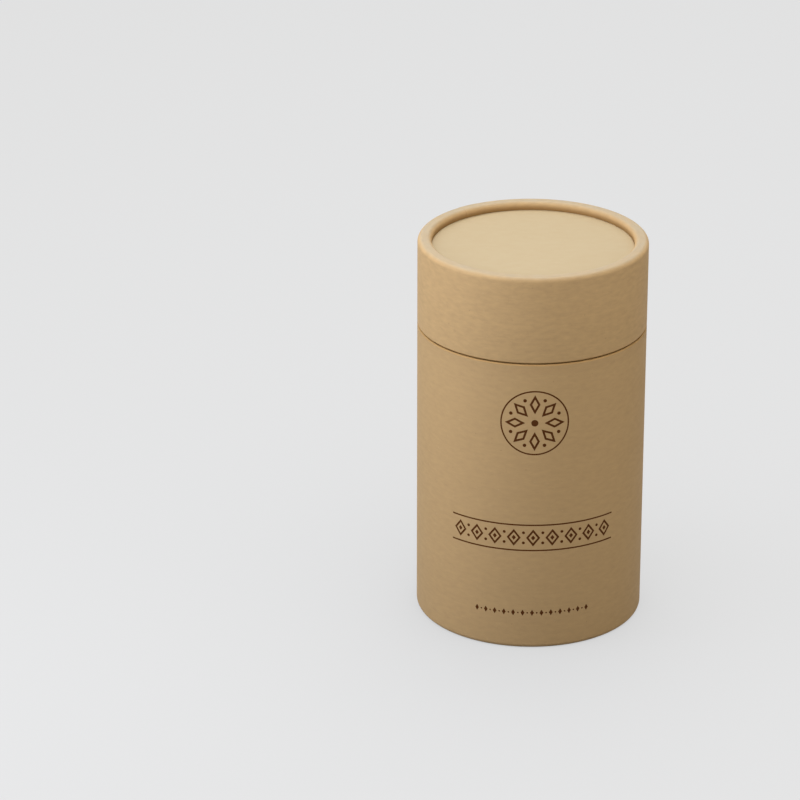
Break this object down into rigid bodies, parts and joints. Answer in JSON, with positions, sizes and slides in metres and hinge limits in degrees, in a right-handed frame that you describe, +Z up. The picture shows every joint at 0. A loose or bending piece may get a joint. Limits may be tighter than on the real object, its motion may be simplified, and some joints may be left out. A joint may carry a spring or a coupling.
{
  "type": "cylindrical gift tube box with lift-off lid",
  "caption": "Round kraft paperboard tube box: rolled rims around recessed end discs, an inner neck, and a flush lid that lifts off it.",
  "frame": {"origin": "centre of the underside, on the surface that the box stands on", "axes": "+Z up along the tube's axis towards the lid; -Y is the printed front; +X to the right seen from the front"},
  "size_m": [0.075, 0.0751, 0.13],
  "materials": {
    "kraft_paper": "uncoated natural brown kraft paper, printed on the body in dark brown",
    "tube_board": "wound brown tube board, raw cut edges",
    "lining_paper": "plain kraft lining paper",
    "end_board": "pressed grey-brown board"
  },
  "bodies": {
    "canister": {"body_core_tube": "tube_board", "body_kraft_wrap": "kraft_paper", "body_inner_liner": "lining_paper", "base_disc": "end_board", "base_disc_facing": "kraft_paper", "neck_core_tube": "tube_board", "neck_outer_facing": "kraft_paper", "neck_inner_liner": "lining_paper", "floor_disc": "end_board"},
    "lid": {"lid_core_tube": "tube_board", "lid_kraft_wrap": "kraft_paper", "lid_inner_liner": "lining_paper", "lid_disc": "end_board", "lid_disc_facing": "kraft_paper", "lid_backing_disc": "end_board"}
  },
  "joints": [
    {"name": "lid_lift", "type": "slide", "parent": "canister", "child": "lid", "axis": [0, 0, 1], "range_m": [0, 0.15]}
  ]
}
